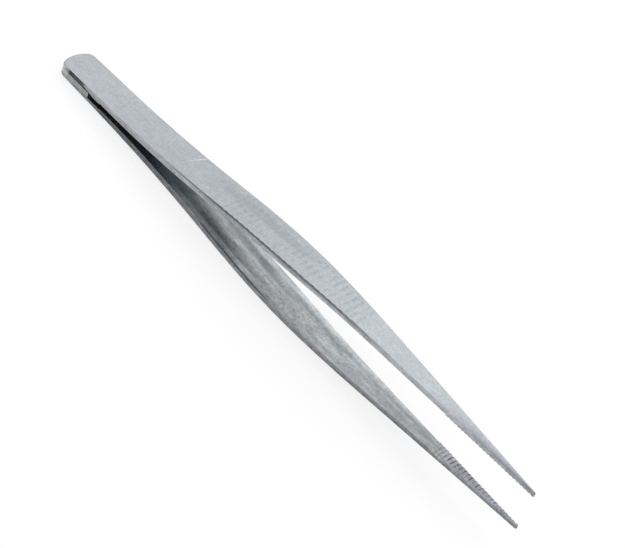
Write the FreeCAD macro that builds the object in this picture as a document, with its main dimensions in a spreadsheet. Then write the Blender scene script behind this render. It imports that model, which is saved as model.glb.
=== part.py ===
# Thumb forceps with fine points: two bowed spring-steel leaves, joined at the heel over a small
# steel spacer by a weld that closes the seam round the heel's end and is ground flush.
# Millimetres and degrees. A leaf is drawn with X from heel to point, Y across its width and Z away
# from the plane midway between the leaves. The finished forceps lie on the lower leaf, as on a tray.
import FreeCAD, Part
import math
import os
import Sketcher

V = FreeCAD.Vector
doc = FreeCAD.newDocument("thumb_forceps")

# Driving sizes
sizes = [
    ("length", 127.0),              # heel end to point
    ("heel_half_width", 3.8),       # half the width just behind the heel's corners
    ("grip_half_width", 4.1),       # half the width at the grip, the widest place
    ("taper_length", 71.0),         # from the end of the straight sides to the point
    ("taper_angle", 3.6),           # of each side, down to the point
    ("point_radius", 0.28),         # round end of the point, half its width
    ("heel_end_radius", 6.0),       # curve of the heel's end
    ("heel_corner_radius", 2.0),    # between that curve and the sides
    ("spacer_thickness", 1.1),      # the gap between the leaves at the heel
    ("flat_length", 13.0),          # straight stretch at the heel, before the spring bend
    ("bow_length", 42.0),           # the bow, from the end of the outward bend to the nose
    ("nose_length", 39.0),          # the straight nose, from the bow to the point
    ("bow_gap", 10.0),              # gap between the leaves where the nose begins
    ("point_gap", 8.1),             # gap between the points at rest
    ("heel_thickness", 0.68),       # leaf thickness at the heel's end
    ("flat_thickness", 1.0),        # at the end of the straight stretch
    ("bow_thickness", 1.2),         # where the nose begins
    ("point_thickness", 0.88),      # at the point
    ("edge_chamfer", 0.25),         # round the outer face
    ("inner_chamfer", 0.2),         # along the inner edges, between the heel and the teeth
    ("groove_offset", 2.6),         # from the start of the bow to the outer grip's first groove
    ("groove_pitch", 1.43),         # along the face
    ("groove_width", 1.0),
    ("groove_depth", 0.06),
    ("groove_count", 24),
    ("teeth_length", 20.2),         # from the first tooth gap inside the nose to the point
    ("tooth_pitch", 0.88),
    ("tooth_gap_width", 0.66),
    ("tooth_depth", 0.15),
    ("tooth_count", 23),
    ("weld_length", 3.3),           # reach of the weld along the heel's sides
    ("weld_end_depth", 1.4),        # depth of the weld at the heel's end
    ("spacer_nose_half_width", 2.3),  # the spacer's tongue inside the weld
    ("spacer_end", 9.6),            # where the spacer stops and the open gap begins
    ("seam_start", 2.9),            # hollow left along the upper leaf's seam on one side
    ("seam_end", 11.0),
    ("seam_height", 0.44),
    ("seam_depth", 0.6),
    ("cut_margin", 2.0),            # how far the outline's cut runs past the metal
    ("stock_overrun", 1.0),         # rough stock left standing past the heel's end before that cut
    ("v_overrun", 0.2),             # how far a V cut is carried on above the face
]
dims = doc.addObject("Spreadsheet::Sheet", "dims")
for row, (alias, value) in enumerate(sizes, start=1):
    dims.set("A%d" % row, alias)
    dims.set("B%d" % row, str(value))
    dims.setAlias("B%d" % row, alias)
doc.recompute()


def size(alias):
    return float(getattr(dims, alias))


# Sketches: every one hangs on a plane of its own body
def plane_of(body, role):
    return [f for f in body.Origin.OriginFeatures if f.Role == role][0]


def new_sketch(body, name, role):
    sketch = body.newObject("Sketcher::SketchObject", body.Name + "_" + name)
    sketch.AttachmentSupport = [(plane_of(body, role), "")]
    sketch.MapMode = "FlatFace"
    return sketch


def fix(sketch, kind, *where, to):
    # A size constraint, worked out from the sheet by the expression in "to"
    value = sketch.evalExpression(to)
    number = math.radians(value.Value) if kind == "Angle" else float(value)
    index = sketch.addConstraint(Sketcher.Constraint(kind, *where, number))
    sketch.setExpression("Constraints[%d]" % index, to)


def place_point(sketch, geometry, end, x=None, y=None):
    if x is not None:
        fix(sketch, "DistanceX", -1, 1, geometry, end, to=x)
    if y is not None:
        fix(sketch, "DistanceY", -1, 1, geometry, end, to=y)


START, END, CENTRE = range(1, 4)

# Stations along the leaf that several features share
BOW_START = "(dims.length - dims.nose_length - dims.bow_length)"
NOSE_START = "(dims.length - dims.nose_length)"


def polygon(sketch, points):
    # A closed outline of straight lines; each point is a pair of expressions. It starts as any
    # convex shape, here points along a parabola, and the constraints then pull it into place.
    first = sketch.GeometryCount
    rough = [V(i, i * i, 0) for i in range(len(points))]
    count = len(points)
    for i in range(count):
        sketch.addGeometry(Part.LineSegment(rough[i], rough[(i + 1) % count]), False)
    for i in range(count):
        after = first + (i + 1) % count
        sketch.addConstraint(Sketcher.Constraint("Coincident", first + i, END, after, START))
        place_point(sketch, first + i, START, *points[i])


def arc_between(p, q, slope_p, slope_q):
    # The circular arc that leaves p at one slope angle and reaches q at the other, both in radians
    turn = slope_q - slope_p
    radius = (q - p).Length / (2 * math.sin(abs(turn) / 2))
    side = 1 if turn > 0 else -1
    centre = p + V(-math.sin(slope_p), math.cos(slope_p), 0) * radius * side
    circle = Part.Circle(centre, V(0, 0, 1), radius)
    a = math.atan2(p.y - centre.y, p.x - centre.x)
    b = math.atan2(q.y - centre.y, q.x - centre.x)
    return Part.ArcOfCircle(circle, a, b) if turn > 0 else Part.ArcOfCircle(circle, b, a)


# One face of a leaf, seen from the side: straight at the heel, bent outwards, bowed back
# and straight again to the point, each stretch tangent to the next
def face_line(sketch, heights):
    # heights: expressions for the heel, the end of the flat, the nose's start and the point
    z = [float(sketch.evalExpression(h)) for h in heights]
    flat, end = size("flat_length"), size("length")
    bow = end - size("nose_length")
    bend = bow - size("bow_length")
    first_slope = math.atan2(z[1] - z[0], flat)
    last_slope = math.atan2(z[3] - z[2], end - bow)
    rise = z[2] - z[1]
    middle = (2 * rise - (bend - flat) * first_slope - (bow - bend) * last_slope) / (bow - flat)
    z_bend = z[1] + (bend - flat) * math.tan((first_slope + middle) / 2)
    p = [V(0, z[0], 0), V(flat, z[1], 0), V(bend, z_bend, 0), V(bow, z[2], 0), V(end, z[3], 0)]
    heel = sketch.addGeometry(Part.LineSegment(p[0], p[1]), False)
    out = sketch.addGeometry(arc_between(p[1], p[2], first_slope, middle), False)
    back = sketch.addGeometry(arc_between(p[2], p[3], middle, last_slope), False)
    nose = sketch.addGeometry(Part.LineSegment(p[3], p[4]), False)
    sketch.addConstraint(Sketcher.Constraint("Tangent", heel, END, out, START))
    sketch.addConstraint(Sketcher.Constraint("Tangent", out, END, back, END))
    sketch.addConstraint(Sketcher.Constraint("Tangent", back, START, nose, START))
    place_point(sketch, heel, START, "0", heights[0])
    place_point(sketch, heel, END, "dims.flat_length", heights[1])
    place_point(sketch, out, END, BOW_START)
    place_point(sketch, nose, START, NOSE_START, heights[2])
    place_point(sketch, nose, END, "dims.length", heights[3])
    return heel, back, nose


def leaf_profile(body):
    sketch = new_sketch(body, "profile", "XZ_Plane")
    inner = ["dims.spacer_thickness / 2"] * 2 + ["dims.bow_gap / 2", "dims.point_gap / 2"]
    thick = ["heel_thickness", "flat_thickness", "bow_thickness", "point_thickness"]
    outer = ["%s + dims.%s" % pair for pair in zip(inner, thick)]
    in_heel, in_back, in_nose = face_line(sketch, inner)
    out_heel, out_back, out_nose = face_line(sketch, outer)
    ends = [(in_heel, START, out_heel, START), (in_nose, END, out_nose, END)]
    for g, g_end, k, k_end in ends:
        a, b = sketch.getPoint(g, g_end), sketch.getPoint(k, k_end)
        line = sketch.addGeometry(Part.LineSegment(a, b), False)
        sketch.addConstraint(Sketcher.Constraint("Coincident", line, START, g, g_end))
        sketch.addConstraint(Sketcher.Constraint("Coincident", line, END, k, k_end))
    # The bow's centre and radius are read off, for the grooves that follow it
    readings = [
        ("bow_centre_x", "DistanceX", (-1, 1, out_back, CENTRE)),
        ("bow_centre_z", "DistanceY", (-1, 1, out_back, CENTRE)),
        ("bow_radius", "Radius", (out_back,)),
    ]
    doc.recompute()
    bow = sketch.Geometry[out_back]
    measured = {"bow_centre_x": bow.Center.x, "bow_centre_z": bow.Center.y, "bow_radius": bow.Radius}
    for name, kind, where in readings:
        index = sketch.addConstraint(Sketcher.Constraint(kind, *where, measured[name]))
        sketch.setDriving(index, False)
        sketch.renameConstraint(index, name)
    return sketch


# Half of the plan outline, seen from above, closed round the metal that is cut away on that side
def outline_cut(body):
    sketch = new_sketch(body, "outline", "XY_Plane")
    end_r, corner_r, point_r = size("heel_end_radius"), size("heel_corner_radius"), size("point_radius")
    heel_w, grip_w = size("heel_half_width"), size("grip_half_width")
    end_x, angle = size("length"), math.radians(size("taper_angle"))
    grip_x = end_x - size("taper_length")
    # Rough places, which the constraints then make exact
    corner_y = heel_w - corner_r
    corner_x = end_r - math.sqrt((end_r - corner_r) ** 2 - corner_y ** 2)
    reach = end_r / (end_r - corner_r)
    end_top = V(end_r + (corner_x - end_r) * reach, corner_y * reach, 0)
    side_start, side_end = V(corner_x, heel_w, 0), V(grip_x, grip_w, 0)
    side_slope = math.atan2(grip_w - heel_w, grip_x - corner_x)
    point_top = V(end_x - point_r + point_r * math.sin(angle), point_r * math.cos(angle), 0)
    rise = point_top.y + (point_top.x - grip_x) * math.tan(angle) - grip_w
    blend = 2 * rise / (math.tan(side_slope) + math.tan(angle))
    taper_start = V(grip_x + blend, point_top.y + (point_top.x - grip_x - blend) * math.tan(angle), 0)
    end_middle = V(end_r - math.sqrt(end_r ** 2 - end_top.y ** 2 / 4), end_top.y / 2, 0)
    end_arc = sketch.addGeometry(Part.Arc(end_top, end_middle, V(0, 0, 0)), False)
    corner_circle = Part.Circle(V(corner_x, corner_y, 0), V(0, 0, 1), corner_r)
    corner_turn = math.pi - math.atan2(corner_y, end_r - corner_x)
    corner = sketch.addGeometry(Part.ArcOfCircle(corner_circle, math.pi / 2, corner_turn), False)
    side = sketch.addGeometry(Part.LineSegment(side_start, side_end), False)
    swell = sketch.addGeometry(arc_between(side_end, taper_start, side_slope, -angle), False)
    taper = sketch.addGeometry(Part.LineSegment(taper_start, point_top), False)
    point_circle = Part.Circle(V(end_x - point_r, 0, 0), V(0, 0, 1), point_r)
    point = sketch.addGeometry(Part.ArcOfCircle(point_circle, 0, math.pi / 2 - angle), False)
    # Geometry -1 is the sketch's horizontal axis, and its start the origin
    tie = Sketcher.Constraint
    sketch.addConstraint([
        tie("Coincident", end_arc, END, -1, 1),
        tie("PointOnObject", end_arc, CENTRE, -1),
        tie("Tangent", corner, END, end_arc, START),
        tie("Tangent", corner, START, side, START),
        tie("Tangent", side, END, swell, END),
        tie("Tangent", swell, START, taper, START),
        tie("Tangent", taper, END, point, END),
        tie("PointOnObject", point, CENTRE, -1),
        tie("PointOnObject", point, START, -1),
    ])
    fix(sketch, "Radius", end_arc, to="dims.heel_end_radius")
    fix(sketch, "Radius", corner, to="dims.heel_corner_radius")
    place_point(sketch, side, START, y="dims.heel_half_width")
    place_point(sketch, side, END, "dims.length - dims.taper_length", "dims.grip_half_width")
    fix(sketch, "Angle", taper, to="-dims.taper_angle * 1 deg")
    fix(sketch, "Radius", point, to="dims.point_radius")
    place_point(sketch, point, START, "dims.length")
    # The rest of the way round runs outside the metal
    margin = size("cut_margin")
    far = [V(end_x, 0, 0), V(end_x + margin, 0, 0), V(end_x + margin, grip_w + margin, 0),
           V(-margin, grip_w + margin, 0), V(-margin, 0, 0), V(0, 0, 0)]
    frame = [sketch.addGeometry(Part.LineSegment(far[i], far[i + 1]), False) for i in range(5)]
    for before, after in zip(frame, frame[1:]):
        sketch.addConstraint(tie("Coincident", before, END, after, START))
    for i, line in enumerate(frame):
        sketch.addConstraint(tie("Vertical" if i % 2 else "Horizontal", line))
    sketch.addConstraint(tie("Coincident", point, START, frame[0], START))
    sketch.addConstraint(tie("Coincident", frame[4], END, -1, 1))
    place_point(sketch, frame[1], END,
                "dims.length + dims.cut_margin", "dims.grip_half_width + dims.cut_margin")
    place_point(sketch, frame[3], START, "-dims.cut_margin")
    return sketch


def cut_through(body, sketch, name):
    pocket = body.newObject("PartDesign::Pocket", body.Name + "_" + name)
    pocket.Profile = sketch
    pocket.SideType = "Symmetric"
    pocket.Type = "ThroughAll"
    body.Tip = pocket
    return pocket


def trim_to_outline(body, outline, name):
    one_side = cut_through(body, outline, name)
    doc.recompute()
    both = body.newObject("PartDesign::Mirrored", body.Name + "_" + name + "_mirror")
    both.Originals = [one_side]
    both.MirrorPlane = (plane_of(body, "XZ_Plane"), [""])
    body.Tip = both
    doc.recompute()
    return both


def pad(body, sketch, thickness, name="slab"):
    slab = body.newObject("PartDesign::Pad", body.Name + "_" + name)
    slab.Profile = sketch
    slab.SideType = "Symmetric"
    slab.setExpression("Length", thickness)
    body.Tip = slab
    doc.recompute()
    return slab


# The edges where the walls meet the leaf's outer face, on side 1, or its inner face, on side -1
FACING = 0.5    # a face whose normal leans further than this to a side looks that way
UPRIGHT = 0.1   # a wall's normal leans less than this either way


def face_edges(shape, side):
    def lean(face):
        u0, u1, v0, v1 = face.ParameterRange
        return side * face.normalAt((u0 + u1) / 2, (v0 + v1) / 2).z

    names = []
    for number, edge in enumerate(shape.Edges, start=1):
        leans = [lean(f) for f in shape.ancestorsOfType(edge, Part.Face)]
        if len(leans) == 2 and max(leans) > FACING and abs(min(leans, key=abs)) < UPRIGHT:
            names.append("Edge%d" % number)
    return names


def break_edges(body, side, name, width):
    before = body.Tip
    chamfer = body.newObject("PartDesign::Chamfer", body.Name + "_" + name)
    chamfer.Base = (before, face_edges(before.Shape, side))
    chamfer.setExpression("Size", width)
    body.Tip = chamfer
    doc.recompute()


# Slope of the nose's inner face, and its height at a distance back from the point
NOSE_SLOPE = "((dims.point_gap - dims.bow_gap) / 2 / dims.nose_length)"


def nose_height(back):
    return "(dims.point_gap / 2 - (%s) * %s)" % (back, NOSE_SLOPE)


# The inner edges stay sharp at the heel, where the spacer and the weld meet them, and along
# the teeth, so the metal is made up there to the full outline
def sharp_ends(body, outline):
    sketch = new_sketch(body, "lands", "XZ_Plane")
    heel_z = "dims.spacer_thickness / 2"
    start, over = "dims.teeth_length + dims.tooth_pitch", "-dims.stock_overrun"
    lands = [
        [("-dims.stock_overrun", heel_z), ("dims.flat_length", heel_z)],
        [("dims.length - (%s)" % back, nose_height(back)) for back in (start, over)],
    ]
    for (x0, z0), (x1, z1) in lands:
        rise = " + dims.inner_chamfer"
        polygon(sketch, [(x0, z0), (x1, z1), (x1, z1 + rise), (x0, z0 + rise)])
    pad(body, sketch, "2 * dims.grip_half_width", "lands")
    trim_to_outline(body, outline, "trim_lands")


def notch(body, name, width, depth, into):
    # A V across the leaf, drawn at its own origin with the metal's face at height zero;
    # "into" is the sign of the way into the metal
    sketch = new_sketch(body, name, "XZ_Plane")
    over = "%d * dims.v_overrun" % -into
    # The mouth is drawn wider, where the V is carried on above the face
    mouth = "%s / 2 * (1 + dims.v_overrun / %s)" % (width, depth)
    return sketch, [("-(%s)" % mouth, over), (mouth, over), ("0", "%d * %s" % (into, depth))]


# Shallow cross grooves on the outer grip, spaced round the centre of the bow
def grip_grooves(body, profile):
    sketch, corners = notch(body, "groove", "dims.groove_width", "dims.groove_depth", into=-1)
    read = "(" + profile.Name + ".Constraints.%s / 1 mm)"
    radius, centre_x, centre_z = (read % n for n in ("bow_radius", "bow_centre_x", "bow_centre_z"))
    polygon(sketch, [(x, "%s + (%s)" % (radius, z)) for x, z in corners])
    sketch.setExpression("AttachmentOffset.Base.x", centre_x)
    sketch.setExpression("AttachmentOffset.Base.y", centre_z)
    sketch.setExpression("AttachmentOffset.Rotation.Angle",
                         "asin((%s - %s - dims.groove_offset) / %s)" % (centre_x, BOW_START, radius))
    first = cut_through(body, sketch, "groove_cut")
    doc.recompute()
    rows = body.newObject("PartDesign::PolarPattern", body.Name + "_grooves")
    rows.Originals = [first]
    rows.Axis = (sketch, ["N_Axis"])
    rows.Mode = "Spacing"
    rows.setExpression("Offset", "dims.groove_pitch / (%s) * 1 rad" % radius)
    rows.setExpression("Occurrences", "dims.groove_count")
    rows.Reversed = True
    body.Tip = rows
    doc.recompute()


# Fine cross teeth on the inner face of the nose
def nose_teeth(body):
    sketch, corners = notch(body, "tooth", "dims.tooth_gap_width", "dims.tooth_depth", into=1)
    polygon(sketch, corners)
    sketch.setExpression("AttachmentOffset.Base.x", "dims.length - dims.teeth_length")
    sketch.setExpression("AttachmentOffset.Base.y", nose_height("dims.teeth_length"))
    sketch.setExpression("AttachmentOffset.Rotation.Angle", "atan(%s)" % NOSE_SLOPE)
    first = cut_through(body, sketch, "tooth_cut")
    doc.recompute()
    rows = body.newObject("PartDesign::LinearPattern", body.Name + "_teeth")
    rows.Originals = [first]
    rows.Direction = (sketch, ["H_Axis"])
    rows.Mode = "Spacing"
    rows.setExpression("Offset", "dims.tooth_pitch")
    rows.setExpression("Occurrences", "dims.tooth_count")
    body.Tip = rows
    doc.recompute()


# The hollow that the grinding left along the seam, a long low lens on one side of the heel
def seam_hollow(body):
    sketch = new_sketch(body, "seam", "XZ_Plane")
    x0, x1, z0 = size("seam_start"), size("seam_end"), size("spacer_thickness") / 2
    top = V((x0 + x1) / 2, z0 + size("seam_height"), 0)
    chord = sketch.addGeometry(Part.LineSegment(V(x0, z0, 0), V(x1, z0, 0)), False)
    arch = sketch.addGeometry(Part.Arc(V(x1, z0, 0), top, V(x0, z0, 0)), False)
    sketch.addConstraint(Sketcher.Constraint("Coincident", chord, END, arch, START))
    sketch.addConstraint(Sketcher.Constraint("Coincident", chord, START, arch, END))
    place_point(sketch, chord, START, "dims.seam_start", "dims.spacer_thickness / 2")
    place_point(sketch, chord, END, "dims.seam_end", "dims.spacer_thickness / 2")
    half, high = "((dims.seam_end - dims.seam_start) / 2)", "dims.seam_height"
    fix(sketch, "Radius", arch, to="(%s ^ 2 + %s ^ 2) / (2 * %s)" % (half, high, high))
    sketch.setExpression("AttachmentOffset.Base.z", "dims.grip_half_width")
    pocket = body.newObject("PartDesign::Pocket", body.Name + "_seam_cut")
    pocket.Profile = sketch
    pocket.setExpression("Length", "dims.grip_half_width - dims.heel_half_width + dims.seam_depth")
    body.Tip = pocket
    doc.recompute()


def leaf(label, open_seam):
    body = doc.addObject("PartDesign::Body", label)
    body.Label = label
    profile = leaf_profile(body)
    outline = outline_cut(body)
    pad(body, profile, "2 * dims.grip_half_width")
    trim_to_outline(body, outline, "trim")
    break_edges(body, 1, "outer_edges", "dims.edge_chamfer")
    break_edges(body, -1, "inner_edges", "dims.inner_chamfer")
    sharp_ends(body, outline)
    grip_grooves(body, profile)
    nose_teeth(body)
    if open_seam:
        seam_hollow(body)
    return body


# The block between the leaves, with a narrower tongue that reaches into the weld
def heel_spacer():
    body = doc.addObject("PartDesign::Body", "heel_spacer")
    body.Label = "heel_spacer"
    sketch = new_sketch(body, "plan", "XY_Plane")
    wide, narrow = "dims.grip_half_width", "dims.spacer_nose_half_width"
    nose_x, back_x, end_x = "dims.weld_end_depth", "dims.weld_length", "dims.spacer_end"
    polygon(sketch, [(nose_x, "-" + narrow), (back_x, "-" + narrow), (back_x, "-" + wide),
                     (end_x, "-" + wide), (end_x, wide), (back_x, wide), (back_x, narrow), (nose_x, narrow)])
    pad(body, sketch, "dims.spacer_thickness")
    trim_to_outline(body, outline_cut(body), "trim")
    return body


# The weld, a U round the heel's end that fills the seam from the tongue out to the ground edge
def heel_weld():
    body = doc.addObject("PartDesign::Body", "heel_weld")
    body.Label = "heel_weld"
    sketch = new_sketch(body, "plan", "XY_Plane")
    wide, narrow = "dims.grip_half_width", "dims.spacer_nose_half_width"
    nose_x, back_x, out_x = "dims.weld_end_depth", "dims.weld_length", "-dims.stock_overrun"
    polygon(sketch, [(out_x, "-" + wide), (back_x, "-" + wide), (back_x, "-" + narrow),
                     (nose_x, "-" + narrow), (nose_x, narrow), (back_x, narrow),
                     (back_x, wide), (out_x, wide)])
    pad(body, sketch, "dims.spacer_thickness")
    trim_to_outline(body, outline_cut(body), "trim")
    return body


upper = leaf("upper_leaf", open_seam=True)
lower = leaf("lower_leaf", open_seam=False)
spacer = heel_spacer()
weld = heel_weld()
pieces = [upper, lower, spacer, weld]

# At rest the forceps touch the tray along the heel's outer edge and on the lower leaf's bow,
# so the whole turns nose upwards by the slope of the line that touches both
profile = doc.getObject("lower_leaf_profile")
bow_x = profile.getDatum("bow_centre_x").Value
bow_z = profile.getDatum("bow_centre_z").Value
bow_r = profile.getDatum("bow_radius").Value
taper_in = size("edge_chamfer")
heel_z = size("spacer_thickness") / 2 + size("heel_thickness")
heel_z += (size("flat_thickness") - size("heel_thickness")) * taper_in / size("flat_length")
to_centre = V(bow_x - taper_in, bow_z - heel_z, 0)
tilt = math.atan2(to_centre.y, to_centre.x) + math.asin(bow_r / to_centre.Length)
turn = FreeCAD.Rotation(V(0, 1, 0), -math.degrees(tilt))
turned_over = FreeCAD.Rotation(V(1, 0, 0), 180)
for piece in pieces:
    piece.Placement = FreeCAD.Placement(V(0, 0, 0), turn)
lower.Placement = FreeCAD.Placement(V(0, 0, 0), turn.multiply(turned_over))
doc.recompute()

# The origin lies under the middle of the whole, on the tray
boxes = [p.Shape.optimalBoundingBox(False, False) for p in pieces]
middle_x = (min(b.XMin for b in boxes) + max(b.XMax for b in boxes)) / 2
floor_z = min(b.ZMin for b in boxes)
for piece in pieces:
    piece.Placement = FreeCAD.Placement(V(-middle_x, 0, -floor_z), piece.Placement.Rotation)
doc.recompute()

# Nothing is written until every step and every solid is sound
for thing in doc.Objects:
    if "Invalid" in thing.State or "Error" in thing.State:
        raise RuntimeError("%s did not build" % thing.Name)
for piece in pieces:
    shape = piece.Shape
    if shape.isNull() or not shape.isValid() or len(shape.Solids) != 1:
        raise RuntimeError("%s is not one sound solid" % piece.Label)

os.makedirs("parts", exist_ok=True)
for piece in pieces:
    piece.Shape.exportStep("parts/%s.step" % piece.Label)
    print(piece.Label, round(piece.Shape.Volume, 2), "mm3")
print("nose up by", round(math.degrees(tilt), 3), "degrees")
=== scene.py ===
# Thumb forceps with fine points, lying on a pale floor: two satin steel leaves, welded at the heel
# over a small spacer. Metres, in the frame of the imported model: X runs from the heel to the points,
# Y across the leaves and Z up.
import math

import bpy
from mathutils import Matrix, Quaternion, Vector


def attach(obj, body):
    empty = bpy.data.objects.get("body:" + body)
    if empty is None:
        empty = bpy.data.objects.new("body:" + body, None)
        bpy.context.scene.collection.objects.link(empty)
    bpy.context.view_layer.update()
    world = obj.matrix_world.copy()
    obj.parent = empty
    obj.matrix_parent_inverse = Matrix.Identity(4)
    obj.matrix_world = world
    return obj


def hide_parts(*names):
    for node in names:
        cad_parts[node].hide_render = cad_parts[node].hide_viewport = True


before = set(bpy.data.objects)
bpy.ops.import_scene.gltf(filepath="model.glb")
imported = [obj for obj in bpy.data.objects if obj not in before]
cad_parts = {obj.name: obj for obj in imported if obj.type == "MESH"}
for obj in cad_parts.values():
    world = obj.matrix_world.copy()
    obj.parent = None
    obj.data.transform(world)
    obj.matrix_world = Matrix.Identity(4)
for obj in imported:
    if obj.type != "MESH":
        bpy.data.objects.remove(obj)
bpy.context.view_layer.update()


# The camera: a long lens looking down on the forceps from in front and to the right, turned so that
# they run from the heel at the top left to the points at the bottom right.
CAMERA_AZIMUTH, CAMERA_ELEVATION, CAMERA_ROLL = 28.61, 43.74, 27.13
CAMERA_DISTANCE, CAMERA_AIM = 0.4321, Vector((-0.0004, 0.00995, 0.0))
LENS, SENSOR_WIDTH = 133.4, 36.0
CLIP_NEAR, CLIP_FAR = 0.01, 20.0
turn, lift = math.radians(CAMERA_AZIMUTH), math.radians(CAMERA_ELEVATION)
to_camera = Vector((math.sin(turn) * math.cos(lift), -math.cos(turn) * math.cos(lift),
                    math.sin(lift)))
scene = bpy.context.scene
camera_data = bpy.data.cameras.new("camera")
camera_data.lens, camera_data.sensor_width = LENS, SENSOR_WIDTH
camera_data.clip_start, camera_data.clip_end = CLIP_NEAR, CLIP_FAR
camera = bpy.data.objects.new("camera", camera_data)
scene.collection.objects.link(camera)
camera.location = CAMERA_AIM + to_camera * CAMERA_DISTANCE
camera.rotation_mode = "QUATERNION"
roll = Quaternion((0, 0, 1), math.radians(CAMERA_ROLL))
camera.rotation_quaternion = (-to_camera).to_track_quat("-Z", "Y") @ roll
scene.camera = camera


# The two leaves: stamped from spring steel strip, bowed, tapered to the points and ground across.
# The broad outer faces are satin; the inner faces are darker, mottled and stained, with painted
# shade near the heel, where the leaves shade each other; the walls and chamfers are painted darker,
# painted shade for the darker surroundings they reflect. Each leaf is the imported solid, joined up,
# its arrises softened.

# a leaf's sizes in millimetres, for placing its marks: its length and where its heel lies, its half
# widths at the heel, at the end of the grip and at the point, and its grooves and teeth
MM = 0.001
LENGTH, HEEL_X = 127.0, -63.467
HEEL_HALF, GRIP_HALF, GRIP_END = 3.8, 4.1, 56.0
POINT_HALF, TAPER = 0.28, math.tan(math.radians(3.6))
TAPER_BLEND = 1.0
GROOVE_START, GROOVE_PITCH, GROOVE_END = 48.6, 1.43, 81.5
TEETH_START, TOOTH_PITCH = 106.8, 0.88


def new_group(name, inputs, outputs):
    """A node group. Inputs are (name, socket type, value or None), outputs the names of masks."""
    group = bpy.data.node_groups.new(name, "ShaderNodeTree")
    for label, kind, value in inputs:
        socket = group.interface.new_socket(label, in_out="INPUT", socket_type=kind)
        if value is not None:
            socket.default_value = value
    for label in outputs:
        group.interface.new_socket(label, in_out="OUTPUT", socket_type="NodeSocketFloat")
    entry, result = group.nodes.new("NodeGroupInput"), group.nodes.new("NodeGroupOutput")
    return group, entry.outputs, result.inputs


def feed(tree, socket, value):
    """Give an input what another node puts out, or a plain value."""
    if isinstance(value, bpy.types.NodeSocket):
        tree.links.new(value, socket)
    else:
        socket.default_value = value


def math_node(tree, operation, *values, clamp=False):
    node = tree.nodes.new("ShaderNodeMath")
    node.operation, node.use_clamp = operation, clamp
    for socket, value in zip(node.inputs, values):
        feed(tree, socket, value)
    return node.outputs[0]


def product(tree, first, *others):
    """Masks and plain strengths multiplied together."""
    for other in others:
        first = math_node(tree, "MULTIPLY", first, other)
    return first


def range_node(tree, value, low, high, out_low, out_high):
    """A smooth step from out_low, up to the low value, to out_high, from the high value on."""
    node = tree.nodes.new("ShaderNodeMapRange")
    node.interpolation_type = "SMOOTHSTEP"
    tree.links.new(value, node.inputs["Value"])
    labels = ("From Min", "From Max", "To Min", "To Max")
    for label, number in zip(labels, (low, high, out_low, out_high)):
        node.inputs[label].default_value = number
    return node.outputs[0]


def rising(tree, value, start, end):
    """0 up to start, and 1 from end on."""
    return range_node(tree, value, start, end, 0.0, 1.0)


def falling(tree, value, start, end):
    """1 up to start, and 0 from end on."""
    return range_node(tree, value, start, end, 1.0, 0.0)


def band(tree, value, start, end, soft):
    """1 between start and end, falling to 0 over the soft distance on each side."""
    return product(tree, rising(tree, value, start - soft, start),
                   falling(tree, value, end, end + soft))


def uneven(tree, stain, least):
    """1 where a stain is full, and down to the least value where there is none."""
    return range_node(tree, stain, 0.0, 1.0, least, 1.0)


def noise_node(tree, place, scale, detail=3.0, stretch=(1, 1, 1), shift=(0, 0, 0)):
    mapping = tree.nodes.new("ShaderNodeMapping")
    mapping.inputs["Scale"].default_value = stretch
    mapping.inputs["Location"].default_value = shift
    noise = tree.nodes.new("ShaderNodeTexNoise")
    noise.inputs["Scale"].default_value = scale
    noise.inputs["Detail"].default_value = detail
    tree.links.new(place, mapping.inputs["Vector"])
    tree.links.new(mapping.outputs["Vector"], noise.inputs["Vector"])
    return noise.outputs["Fac"]


def patches(tree, place, scale, none, full, **shape):
    """A mask of patches: 0 where the noise is below none, and 1 where it is above full."""
    return rising(tree, noise_node(tree, place, scale, **shape), none, full)


def mix_colour(tree, factor, a, b, blend="MIX"):
    node = tree.nodes.new("ShaderNodeMix")
    node.data_type, node.blend_type = "RGBA", blend
    feed(tree, node.inputs[0], factor)
    for socket, colour in ((node.inputs[6], a), (node.inputs[7], b)):
        feed(tree, socket, (*colour, 1.0) if isinstance(colour, tuple) else colour)
    return node.outputs[2]


def lay(tree, colour, film, *masks, blend="MIX"):
    """The colour with a film of another over it, as strong as the masks multiplied together."""
    return mix_colour(tree, product(tree, *masks), colour, film, blend)


def scale_colour(tree, colour, factor):
    node = tree.nodes.new("ShaderNodeVectorMath")
    node.operation = "SCALE"
    tree.links.new(colour, node.inputs[0])
    tree.links.new(factor, node.inputs["Scale"])
    return node.outputs[0]


def along_ramp(tree, along, stops):
    """A grey that changes along the leaf. Stops are (millimetres from the heel, value)."""
    node = tree.nodes.new("ShaderNodeValToRGB")
    tree.links.new(math_node(tree, "MULTIPLY", along, 1.0 / LENGTH), node.inputs["Fac"])
    elements = node.color_ramp.elements
    while len(elements) < len(stops):
        elements.new(0.5)
    for element, (place, value) in zip(elements, stops):
        element.position = place / LENGTH
        element.color = (value, value, value, 1.0)
    return node.outputs["Color"]


# where a point lies on a leaf: along it in millimetres from the heel, and across it from -1 at
# the near edge to 1 at the far one
PLACE = ("Place", "NodeSocketVector", None)
leaf_place, place_in, place_out = new_group("leaf_place", [PLACE], ["Along", "Across"])
split = leaf_place.nodes.new("ShaderNodeSeparateXYZ")
leaf_place.links.new(place_in["Place"], split.inputs[0])
along = math_node(leaf_place, "MULTIPLY_ADD", split.outputs["X"], 1.0 / MM, -HEEL_X)
grip_side = math_node(leaf_place, "MULTIPLY_ADD", along, (GRIP_HALF - HEEL_HALF) / GRIP_END,
                      HEEL_HALF)
point_side = math_node(leaf_place, "MULTIPLY_ADD", along, -TAPER, POINT_HALF + LENGTH * TAPER)
half = math_node(leaf_place, "SMOOTH_MIN", grip_side, point_side, TAPER_BLEND)
aside = math_node(leaf_place, "MULTIPLY", split.outputs["Y"], 1.0 / MM)
leaf_place.links.new(along, place_out["Along"])
leaf_place.links.new(math_node(leaf_place, "DIVIDE", aside, half), place_out["Across"])

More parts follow.
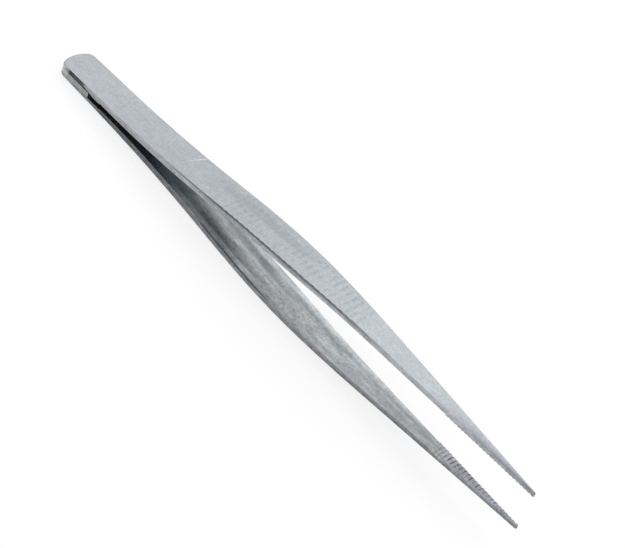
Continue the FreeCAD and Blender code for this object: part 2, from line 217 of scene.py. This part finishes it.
# fine lines across the leaf, as the grinding belt leaves them: broad and fine ones in equal parts
grind, grind_in, grind_out = new_group("grind_lines", [PLACE], ["Lines"])
broad = noise_node(grind, grind_in["Place"], 2600.0, detail=2.0, stretch=(1.0, 0.05, 0.05))
fine = noise_node(grind, grind_in["Place"], 8000.0, detail=3.0, stretch=(1.0, 0.04, 0.04),
                  shift=(7.3, 1.9, 0))
both = math_node(grind, "ADD", product(grind, broad, 0.5), product(grind, fine, 0.5))
grind.links.new(both, grind_out["Lines"])

# what use leaves: broad clouds, blotches of a millimetre or so, streaks along the leaf, grains and
# specks, each with its noise scale, detail and stretch, and where the noise shows none or all of it
STAINS = (
    ("Clouds", 170.0, 3.0, 0.6, 0.33, 0.67),
    ("Blotches", 950.0, 5.0, 0.7, 0.28, 0.72),
    ("Streaks", 900.0, 4.0, 0.13, 0.30, 0.70),
    ("Grains", 3600.0, 4.0, 0.6, 0.30, 0.70),
    ("Specks", 2600.0, 2.0, 0.8, 0.58, 0.74))
stain, stain_in, stain_out = new_group(
    "stains", [PLACE, ("Seed", "NodeSocketFloat", 0.0)], [kind[0] for kind in STAINS])
seeded = stain.nodes.new("ShaderNodeVectorMath")
seeded.operation = "ADD"
stain.links.new(stain_in["Place"], seeded.inputs[0])
stain.links.new(stain_in["Seed"], seeded.inputs[1])
for label, scale, detail, stretch, none, full in STAINS:
    mask = patches(stain, seeded.outputs[0], scale, none, full, detail=detail,
                   stretch=(stretch, 1, 1))
    stain.links.new(mask, stain_out[label])

# the arrises, rubbed brighter in an uneven line
wear, wear_in, wear_out = new_group(
    "edge_wear", [PLACE, ("Across", "NodeSocketFloat", 0.0)], ["Wear"])
rim = rising(wear, math_node(wear, "ABSOLUTE", wear_in["Across"]), 0.86, 0.99)
rubbed = patches(wear, wear_in["Place"], 700.0, 0.35, 0.65, stretch=(0.5, 1, 1))
wear.links.new(product(wear, rim, rubbed), wear_out["Wear"])

RUBBED_STEEL = (0.62, 0.64, 0.66)
LINE_NONE, LINE_FULL = 0.3, 0.7
ROUGH_BY_LINES, ROUGH_BY_CLOUDS, ROUGH_BY_RUBBING = 0.04, 0.05, -0.1
RELIEF, RELIEF_DEPTH, RELIEF_OF_BLOTCHES = 0.05, 0.1 * MM, 0.3


def steel(name, tone, dark, roughness, ramp, lines=0.04, clouds=0.06, blotches=0.05, streaks=0.02,
          grains=0.05, specks=0.1, worn=0.15, seed=0.0, marks=None):
    """Steel of one kind of surface: tone is the clean colour, dark the stained one, and ramp
    scales both along the leaf; on the inner faces, walls and chamfers the ramp carries painted
    shade. The values from lines to worn say how strongly each shows.
    marks(tree, place, along, across, stains, colour) adds what that surface alone shows."""
    material = bpy.data.materials.new(name)
    material.use_nodes = True
    tree = material.node_tree
    shader = tree.nodes["Principled BSDF"]
    shader.inputs["Metallic"].default_value = 1.0
    place = tree.nodes.new("ShaderNodeTexCoord").outputs["Object"]

    def group(node_tree, **values):
        node = tree.nodes.new("ShaderNodeGroup")
        node.node_tree = node_tree
        tree.links.new(place, node.inputs["Place"])
        for label, value in values.items():
            feed(tree, node.inputs[label], value)
        return node.outputs

    where = group(leaf_place)
    along, across = where["Along"], where["Across"]
    stains, line = group(stain, Seed=seed), group(grind)["Lines"]
    rubbed = group(wear, Across=across)["Wear"]
    colour = mix_colour(tree, product(tree, stains["Specks"], specks), tone, dark)
    colour = lay(tree, colour, RUBBED_STEEL, rubbed, worn)
    if marks:
        colour = marks(tree, place, along, across, stains, colour)
    level = along_ramp(tree, along, ramp)
    for mask, none, full, strength in ((line, LINE_NONE, LINE_FULL, lines),
                                       (stains["Clouds"], 0.0, 1.0, clouds),
                                       (stains["Blotches"], 0.0, 1.0, blotches),
                                       (stains["Streaks"], 0.0, 1.0, streaks),
                                       (stains["Grains"], 0.0, 1.0, grains)):
        change = range_node(tree, mask, none, full, 1.0 - strength, 1.0 + strength)
        level = product(tree, level, change)
    tree.links.new(scale_colour(tree, colour, level), shader.inputs["Base Color"])
    rough = range_node(tree, line, LINE_NONE, LINE_FULL, roughness - ROUGH_BY_LINES,
                       roughness + ROUGH_BY_LINES)
    rough = math_node(tree, "MULTIPLY_ADD", stains["Clouds"], ROUGH_BY_CLOUDS, rough)
    rough = math_node(tree, "MULTIPLY_ADD", rubbed, ROUGH_BY_RUBBING, rough, clamp=True)
    tree.links.new(rough, shader.inputs["Roughness"])
    bump = tree.nodes.new("ShaderNodeBump")
    bump.inputs["Strength"].default_value = RELIEF
    bump.inputs["Distance"].default_value = RELIEF_DEPTH
    height = math_node(tree, "MULTIPLY_ADD", stains["Blotches"], RELIEF_OF_BLOTCHES, line)
    tree.links.new(height, bump.inputs["Height"])
    tree.links.new(bump.outputs["Normal"], shader.inputs["Normal"])
    return material


def off_middle(tree, along, start, pitch, phase):
    """How far a point is from the middle of its groove or gap: 0 to 0.5 of the pitch. The phase
    shifts that middle."""
    turns = math_node(tree, "MULTIPLY_ADD", along, 1.0 / pitch, -start / pitch - phase)
    return math_node(tree, "PINGPONG", turns, 0.5)


# the outer faces. In all the marks, along counts millimetres from the heel, across runs from -1 to
# 1, and a plain number at the end of lay() is the strength of the film
GROOVE_PHASE, GROOVE_SHADE, SMUDGE_SHADE = 0.35, 0.10, 0.32
GROOVE_GREY, PATCH_GREY, NEAR_TIP_SHADE = (0.21, 0.225, 0.245), (0.22, 0.24, 0.25), (0.21, 0.205, 0.24)


def outer_marks(tree, place, along, across, stains, colour):
    """Faint shade in the grip's grooves, with grey smudges in the middle; a grey patch behind the
    grooves; and painted shade over the near half towards the tip."""
    middle = band(tree, across, -0.6, 0.55, soft=0.4)
    patchy = patches(tree, place, 800.0, 0.36, 0.66, detail=4.0, stretch=(0.35, 1, 1),
                     shift=(3, 1, 0))
    shade = math_node(tree, "MULTIPLY_ADD", product(tree, middle, patchy), SMUDGE_SHADE,
                      GROOVE_SHADE)
    from_groove = off_middle(tree, along, GROOVE_START, GROOVE_PITCH, GROOVE_PHASE)
    colour = lay(tree, colour, GROOVE_GREY, falling(tree, from_groove, 0.02, 0.38),
                 band(tree, along, GROOVE_START, GROOVE_END - 1.0, soft=3.0), shade)
    colour = lay(tree, colour, PATCH_GREY, band(tree, across, 0.18, 0.42, soft=0.25),
                 band(tree, along, 46.0, 62.0, soft=7.0), uneven(tree, stains["Clouds"], 0.6),
                 0.34)
    # painted shade, violet-grey: the near half darkens towards the tip
    return lay(tree, colour, NEAR_TIP_SHADE, falling(tree, across, -0.8, 0.6),
               rising(tree, along, 100.0, 114.0), uneven(tree, stains["Blotches"], 0.7), 0.8)


# the one deep scratch, across the far half of the upper leaf: its far end, its lean, its length,
# how far it wanders, and the half widths of its floor and of its whole
SCRATCH_X, SCRATCH_Y, SCRATCH_LEAN = -28.0 * MM, 3.8 * MM, math.radians(16.9)
SCRATCH_LENGTH, SCRATCH_FADE, SCRATCH_WANDER = 7.4 * MM, 1.0 * MM, 0.3 * MM
SCRATCH_FLOOR, SCRATCH_HALF = 0.05 * MM, 0.20 * MM
SCRATCH_BRIGHT = (0.60, 0.62, 0.65)


def upper_outer_marks(tree, place, along, across, stains, colour):
    """The same, and the scratch."""
    colour = outer_marks(tree, place, along, across, stains, colour)
    turned = tree.nodes.new("ShaderNodeMapping")
    turned.vector_type = "TEXTURE"
    turned.inputs["Location"].default_value = (SCRATCH_X, SCRATCH_Y, 0.0)
    turned.inputs["Rotation"].default_value = (0.0, 0.0, -SCRATCH_LEAN)
    tree.links.new(place, turned.inputs["Vector"])
    parts = tree.nodes.new("ShaderNodeSeparateXYZ")
    tree.links.new(turned.outputs["Vector"], parts.inputs[0])
    wander = math_node(tree, "MULTIPLY_ADD", noise_node(tree, place, 300.0, detail=1.0),
                       SCRATCH_WANDER, -SCRATCH_WANDER / 2)
    aside = math_node(tree, "ABSOLUTE", math_node(tree, "ADD", parts.outputs["X"], wander))
    return lay(tree, colour, SCRATCH_BRIGHT, falling(tree, aside, SCRATCH_FLOOR, SCRATCH_HALF),
               rising(tree, parts.outputs["Y"], -SCRATCH_LENGTH, -SCRATCH_FADE))


# the inner faces
# the third colour on the next line is a painted reflection of the upper leaf's dark underside, and
# the two rim colours on the line after are painted light
OLIVE, PIT_BROWN, REFLECTED_BAND_GREY = (0.125, 0.13, 0.105), (0.10, 0.10, 0.085), (0.135, 0.155, 0.175)
NEAR_RIM_LIGHT, FAR_RIM_LIGHT, HEEL_TINT = (0.78, 0.80, 0.82), (0.56, 0.58, 0.60), (0.96, 0.995, 1.045)
REFLECTED_BAND_LEAST, REFLECTED_BAND_MORE = 0.42, 0.28
HEEL_SIDE_PHASE = 0.19
TEETH_PAINTED_LIGHT, TEETH_DARK_PATCH, POINT_TINT = (1.36, 1.36, 1.38), (0.09, 0.08, 0.11), (0.93, 0.86, 1.02)


def inner_marks(tree, place, along, across, stains, colour):
    """Olive staining and brown pits low on the near half, a dark band under the far edge that is a
    painted reflection of the upper leaf's dark underside, painted light along both rims, a bluer
    heel, and the marks on the teeth."""
    drift = noise_node(tree, place, 240.0, stretch=(0.5, 1, 1), shift=(1, 4, 0))
    drifted = math_node(tree, "ADD", across, math_node(tree, "MULTIPLY_ADD", drift, 0.5, -0.25))
    colour = lay(tree, colour, OLIVE, band(tree, drifted, -0.52, -0.38, soft=0.24),
                 band(tree, along, 46.0, 60.0, soft=8.0), uneven(tree, stains["Blotches"], 0.5),
                 0.5)
    pits = patches(tree, place, 2000.0, 0.52, 0.66, detail=4.0, stretch=(0.6, 1, 1),
                   shift=(5, 2, 0))
    colour = lay(tree, colour, PIT_BROWN, pits, band(tree, drifted, -0.72, -0.2, soft=0.3),
                 band(tree, along, 42.0, 68.0, soft=12.0), 0.42)
    # painted reflection: the upper leaf's dark underside, as a dark band under the far edge
    strength = math_node(tree, "MULTIPLY_ADD", band(tree, along, 48.0, 68.0, soft=8.0), REFLECTED_BAND_MORE,
                         REFLECTED_BAND_LEAST)
    colour = lay(tree, colour, REFLECTED_BAND_GREY, band(tree, drifted, 0.33, 0.50, soft=0.26),
                 band(tree, along, 44.0, 84.0, soft=8.0), uneven(tree, stains["Clouds"], 0.6),
                 strength)
    # painted light along the near rim, against the shade in the gap
    colour = lay(tree, colour, NEAR_RIM_LIGHT, band(tree, across, -0.99, -0.78, soft=0.2),
                 band(tree, along, 39.0, 56.0, soft=8.0), 0.9)
    colour = lay(tree, colour, HEEL_TINT, falling(tree, along, 30.0, 42.0), blend="MULTIPLY")
    # painted light along the far rim, beyond the painted reflection
    colour = lay(tree, colour, FAR_RIM_LIGHT, rising(tree, across, 0.45, 0.98),
                 rising(tree, along, 54.0, 76.0), 0.75)
    return tooth_marks(tree, place, along, across, colour)


def tooth_marks(tree, place, along, across, colour):
    """The side of each gap that faces the heel is painted lighter, and darker in patches instead;
    the point is tinted violet."""
    from_heel_side = off_middle(tree, along, TEETH_START, TOOTH_PITCH, HEEL_SIDE_PHASE)
    heel_side = product(tree, falling(tree, from_heel_side, 0.13, 0.25),
                        rising(tree, along, TEETH_START - 0.5, TEETH_START + 0.5))
    # patches where the heel side of a gap is darker instead of lighter
    dark_patches = patches(tree, place, 1500.0, 0.40, 0.56, stretch=(1, 0.6, 1), shift=(2, 7, 0))
    dark_patches = product(tree, dark_patches, band(tree, across, -0.1, 0.9, soft=0.5),
                    band(tree, along, 110.5, 120.0, soft=4.0))
    clean = math_node(tree, "SUBTRACT", 1.0, dark_patches)
    # painted light on the heel side of each gap, outside the dark patches
    colour = lay(tree, colour, TEETH_PAINTED_LIGHT, clean, heel_side, blend="MULTIPLY")
    colour = lay(tree, colour, TEETH_DARK_PATCH, heel_side, dark_patches, 0.7)
    return lay(tree, colour, POINT_TINT, rising(tree, along, TEETH_START - 2.0, TEETH_START + 6.0),
               0.4, blend="MULTIPLY")


# the walls and the chamfers
NEAR_EDGE_SHADE_GREY, NEAR_EDGE_SHADE_DARK, FAR_EDGE_HIGHLIGHT = (0.18, 0.18, 0.18), (0.12, 0.12, 0.13), (1.25, 1.29, 1.34)
RUST_BROWN, HEEL_LENS_SHADE, WALL_SHADE = (0.30, 0.22, 0.19), (0.07, 0.075, 0.115), (0.20, 0.21, 0.23)


def inner_edge_marks(tree, place, along, across, stains, colour):
    """The near inner edge is painted shade, darker still from 46 to 62 mm; the far one has a painted
    highlight.
    """
    near = falling(tree, across, -0.5, 0.5)
    colour = lay(tree, colour, NEAR_EDGE_SHADE_GREY, near, 0.45)
    colour = lay(tree, colour, NEAR_EDGE_SHADE_DARK, near, band(tree, along, 46.0, 62.0, soft=4.0), 0.85)
    # painted highlight along the far inner edge
    return lay(tree, colour, FAR_EDGE_HIGHLIGHT, rising(tree, across, 0.5, 0.9), 0.6)


def wall_marks(tree, place, along, across, stains, colour):
    """Rust-brown specks towards the points."""
    return lay(tree, colour, RUST_BROWN, stains["Specks"], rising(tree, along, 60.0, 84.0), 0.5)


def heel_lens_shade(tree, place, along, across, stains, colour):
    """A bluish dark lens of painted shade over the seam, on the near side of the leaf at the spacer.
    """
    return lay(tree, colour, HEEL_LENS_SHADE, band(tree, along, 3.8, 7.2, soft=1.5),
               falling(tree, across, -0.9, -0.6), uneven(tree, stains["Blotches"], 0.75), 0.95)


def upper_wall_marks(tree, place, along, across, stains, colour):
    """Rust, the heel's lens of painted shade, and a line of painted shade under the outer edge along
    the bow.
    """
    colour = wall_marks(tree, place, along, across, stains, colour)
    colour = heel_lens_shade(tree, place, along, across, stains, colour)
    height = tree.nodes.new("ShaderNodeAttribute")
    height.attribute_name = "wall_height"
    return lay(tree, colour, WALL_SHADE, rising(tree, height.outputs["Fac"], 0.50, 0.95),
               band(tree, along, 50.0, 80.0, soft=12.0), 0.42)


# how light each kind of surface is along the leaf. The inner ramp's dark heel end is painted
# shade between the leaves, and the darker stretches of the wall and chamfer ramps are painted
# shade for the darker surroundings these steep faces reflect
outer_ramp = [(0, 1.0), (35, 0.98), (48, 0.99), (72, 0.98), (84, 1.01), (98, 1.02), (108, 1.00),
              (116, 0.95), (127, 0.88)]
inner_ramp = [(0, 0.60), (20, 0.62), (30, 0.92), (41, 0.88), (48, 0.76), (54, 0.76), (62, 0.78),
              (77, 0.77), (84, 0.77), (92, 0.70), (106, 0.64), (114, 0.56), (127, 0.58)]
edge_ramp = [(0, 0.34), (11, 0.37), (30, 0.36), (37, 0.27), (43, 0.19), (48, 0.13), (77, 0.15),
             (83, 0.26), (87, 0.34), (98, 0.42), (107, 0.44), (112, 0.38), (118, 0.30), (127, 0.26)]
upper_wall_ramp = [(0, 0.36), (11, 0.34), (20, 0.33), (32, 0.39), (84, 0.42), (92, 0.42),
                   (100, 0.43), (109, 0.41), (118, 0.36), (127, 0.29)]
lower_wall_ramp = [(0, 0.32), (10, 0.26), (14, 0.12), (22, 0.12), (34, 0.18), (44, 0.20),
                   (60, 0.25), (70, 0.23), (88, 0.21), (96, 0.21), (110, 0.25), (127, 0.24)]
inner_edge_ramp = [(0, 0.20), (30, 0.24), (44, 0.36), (66, 0.40), (90, 0.42), (110, 0.34),
                   (127, 0.26)]
level_ramp = [(0, 1.0), (LENGTH, 1.0)]

face, face_dark = (0.415, 0.437, 0.46), (0.30, 0.315, 0.33)
inside, inside_dark = (0.375, 0.395, 0.405), (0.16, 0.165, 0.15)
white, grime = (0.99, 1.03, 1.09), (0.44, 0.45, 0.46)
# the seam's cut is painted light, to take back the shade that falls in it
seam_painted_light_grey, seam_dark = (0.75, 0.77, 0.80), (0.45, 0.45, 0.46)
upper_outer = steel("steel_upper_outer", face, face_dark, 0.45, outer_ramp, clouds=0.035,
                    blotches=0.03, grains=0.08, marks=upper_outer_marks)
lower_outer = steel("steel_lower_outer", face, face_dark, 0.45, outer_ramp, clouds=0.035,
                    blotches=0.03, grains=0.08, seed=2.0, marks=outer_marks)
inner = steel("steel_inner", inside, inside_dark, 0.30, inner_ramp, lines=0.07, blotches=0.09,
              streaks=0.14, grains=0.11, specks=0.35, worn=0.4, seed=3.0, marks=inner_marks)
upper_wall = steel("steel_upper_wall", white, grime, 0.42, upper_wall_ramp, blotches=0.10,
                   streaks=0.06, grains=0.12, specks=0.5, worn=0.0, seed=5.0,
                   marks=upper_wall_marks)
lower_wall = steel("steel_lower_wall", white, grime, 0.42, lower_wall_ramp, blotches=0.16,
                   streaks=0.08, grains=0.18, specks=0.6, worn=0.0, seed=6.0, marks=wall_marks)
upper_edge = steel("steel_upper_edge", white, grime, 0.42, edge_ramp, blotches=0.12, specks=0.3,
                   worn=0.0, seed=7.0, marks=heel_lens_shade)
lower_edge = steel("steel_lower_edge", white, grime, 0.42, edge_ramp, blotches=0.12, specks=0.3,
                   worn=0.0, seed=7.5)
inner_edge = steel("steel_inner_edge", white, grime, 0.38, inner_edge_ramp, blotches=0.12,
                   specks=0.3, worn=0.0, seed=8.0, marks=inner_edge_marks)
seam = steel("steel_seam", seam_painted_light_grey, seam_dark, 0.5, level_ramp, worn=0.0, seed=9.0)

# the order of the materials on a leaf; how much a face's normal leans outwards at least on a broad
# face, and at most on a wall; and the shallow seam in the upper leaf's near side at the heel: where
# it ends along the leaf, where its faces lie across it, and how much they lean at most
OUTER, INNER, WALL, OUTER_EDGE, INNER_EDGE, SEAM = range(6)
BROAD_LEAN, WALL_LEAN = 0.8, 0.35
SEAM_END, SEAM_NEAR, SEAM_FAR, SEAM_LEAN = -52.0 * MM, -3.74 * MM, -3.1 * MM, 0.3


def leaf_surface(outwards):
    """Which material a face of a leaf gets. Outwards is 1 for the upper leaf, -1 for the lower."""
    def pick(face):
        lean = face.normal.z * outwards
        in_seam = face.center.x < SEAM_END and SEAM_NEAR < face.center.y < SEAM_FAR
        if outwards > 0 and in_seam and lean < SEAM_LEAN:
            return SEAM
        if abs(lean) > BROAD_LEAN:
            return OUTER if lean > 0 else INNER
        if abs(lean) < WALL_LEAN:
            return WALL
        return OUTER_EDGE if lean > 0 else INNER_EDGE
    return pick


ARRIS, ARRIS_STEPS, ARRIS_ANGLE = 0.05 * MM, 2, math.radians(25)
MERGE_DISTANCE, FLAT_ANGLE, SMOOTH_ANGLE = 0.002 * MM, math.radians(0.05), math.radians(35)


def finished_copy(node, name, materials, material_of):
    """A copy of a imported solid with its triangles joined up, a material on each face, its arrises
    softened, and an attribute that is 1 at the top of a leaf's wall and 0 at its foot."""
    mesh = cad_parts[node].data.copy()
    mesh.name = name
    mesh.materials.clear()
    for material in materials:
        mesh.materials.append(material)
    piece = bpy.data.objects.new(name, mesh)
    scene.collection.objects.link(piece)
    bpy.ops.object.select_all(action="DESELECT")
    piece.select_set(True)
    bpy.context.view_layer.objects.active = piece
    bpy.ops.object.mode_set(mode="EDIT")
    bpy.ops.mesh.select_all(action="SELECT")
    bpy.ops.mesh.remove_doubles(threshold=MERGE_DISTANCE)
    bpy.ops.mesh.dissolve_limited(angle_limit=FLAT_ANGLE)
    bpy.ops.object.mode_set(mode="OBJECT")
    outer_side = set()
    for face in mesh.polygons:
        face.material_index = material_of(face)
        if face.material_index in (OUTER, OUTER_EDGE):
            outer_side.update(face.vertices)
    height = mesh.attributes.new("wall_height", "FLOAT", "POINT")
    for vertex in mesh.vertices:
        height.data[vertex.index].value = 1.0 if vertex.index in outer_side else 0.0
    bpy.ops.object.modifier_add(type="BEVEL")
    bevel = piece.modifiers[-1]
    bevel.width, bevel.segments = ARRIS, ARRIS_STEPS
    bevel.limit_method, bevel.angle_limit = "ANGLE", ARRIS_ANGLE
    bpy.ops.object.modifier_apply(modifier=bevel.name)
    bpy.ops.object.shade_smooth_by_angle(angle=SMOOTH_ANGLE)
    bpy.ops.object.modifier_add(type="WEIGHTED_NORMAL")
    weighted = piece.modifiers[-1]
    weighted.keep_sharp = True
    bpy.ops.object.modifier_apply(modifier=weighted.name)
    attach(piece, "root")
    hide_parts(node)
    return piece


upper = finished_copy("upper_leaf", "upper_leaf_finished",
                      [upper_outer, inner, upper_wall, upper_edge, inner_edge, seam],
                      leaf_surface(1))
lower = finished_copy("lower_leaf", "lower_leaf_finished",
                      [lower_outer, inner, lower_wall, lower_edge, inner_edge],
                      leaf_surface(-1))


# The spacer between the leaves at the heel: a small steel block whose sides were ground flush with
# theirs. Its inner end, which the grinding missed, keeps a greenish film.
SPACER_GREY, SPACER_DARK, SPACER_FILM = (0.31, 0.32, 0.325), (0.22, 0.22, 0.18), (0.27, 0.29, 0.24)


def spacer_marks(tree, place, along, across, stains, colour):
    """The greenish film at the inner end."""
    return lay(tree, colour, SPACER_FILM, rising(tree, along, 7.6, 9.4), 0.45)


spacer_steel = steel("steel_spacer", SPACER_GREY, SPACER_DARK, 0.42, level_ramp, blotches=0.1,
                     specks=0.4, worn=0.0, seed=11.0, marks=spacer_marks)
spacer = finished_copy("heel_spacer", "heel_spacer_finished", [spacer_steel], lambda face: 0)


# The weld that closes the seam round the heel's end: a bead of steel melted in between the two
# leaves and ground flush with them, a little greyer than their satin faces.
WELD_GREY, WELD_DARK = (0.42, 0.43, 0.44), (0.25, 0.25, 0.25)
weld_steel = steel("steel_weld", WELD_GREY, WELD_DARK, 0.42, level_ramp, blotches=0.1, specks=0.3,
                   worn=0.0, seed=13.0)
weld = finished_copy("heel_weld", "heel_weld_finished", [weld_steel], lambda face: 0)


# The floor: a wide pale sheet under the forceps. It shows white to the camera, and in mirrors and
# through glass too, and it keeps a soft shadow.
FLOOR_SIZE = 6.0
FLOOR_PALE, FLOOR_SEEN, FLOOR_GLOW = (0.80, 0.80, 0.80), (0.26, 0.26, 0.26), 0.76


def seen_directly(tree):
    """1 for what the camera sees, in a mirror or through glass too, and 0 for scattered light."""
    rays = tree.nodes.new("ShaderNodeLightPath").outputs
    seen = math_node(tree, "MAXIMUM", rays["Is Camera Ray"], rays["Is Glossy Ray"])
    return math_node(tree, "MAXIMUM", seen, rays["Is Transmission Ray"])


bpy.ops.object.select_all(action="DESELECT")
bpy.ops.mesh.primitive_plane_add(size=FLOOR_SIZE, location=(0, 0, 0))
floor = bpy.context.active_object
floor.name = "floor"
paper = bpy.data.materials.new("pale_floor")
paper.use_nodes = True
tree = paper.node_tree
tree.nodes.remove(tree.nodes["Principled BSDF"])
sheet = tree.nodes.new("ShaderNodeBsdfDiffuse")
glow = tree.nodes.new("ShaderNodeEmission")
seen = seen_directly(tree)
tree.links.new(mix_colour(tree, seen, FLOOR_PALE, FLOOR_SEEN), sheet.inputs["Color"])
tree.links.new(product(tree, seen, FLOOR_GLOW), glow.inputs["Strength"])
together = tree.nodes.new("ShaderNodeAddShader")
tree.links.new(sheet.outputs[0], together.inputs[0])
tree.links.new(glow.outputs[0], together.inputs[1])
tree.links.new(together.outputs[0], tree.nodes["Material Output"].inputs["Surface"])
floor.data.materials.append(paper)


# The light: an even surround, white to the camera and a little dimmer as light, and one large soft
# panel high up behind the forceps.
SURROUND_WHITE, SURROUND_LIGHT = (1.0, 1.0, 1.0, 1.0), 0.87
PANEL_WIDTH, PANEL_DEPTH, PANEL_WATTS, PANEL_PLACE = 1.4, 1.0, 3.0, (-0.15, 0.75, 1.0)
world = bpy.data.worlds.new("studio")
scene.world = world
world.use_nodes = True
tree = world.node_tree
background = tree.nodes["Background"]
background.inputs["Color"].default_value = SURROUND_WHITE
strength = math_node(tree, "MULTIPLY_ADD", seen_directly(tree), 1.0 - SURROUND_LIGHT,
                     SURROUND_LIGHT)
tree.links.new(strength, background.inputs["Strength"])
panel_data = bpy.data.lights.new("soft_panel", "AREA")
panel_data.shape, panel_data.size, panel_data.size_y = "RECTANGLE", PANEL_WIDTH, PANEL_DEPTH
panel_data.energy = PANEL_WATTS
panel = bpy.data.objects.new("soft_panel", panel_data)
scene.collection.objects.link(panel)
panel.location = PANEL_PLACE
panel.rotation_mode = "QUATERNION"
panel.rotation_quaternion = (-panel.location).to_track_quat("-Z", "Y")

scene.view_settings.view_transform = "Standard"
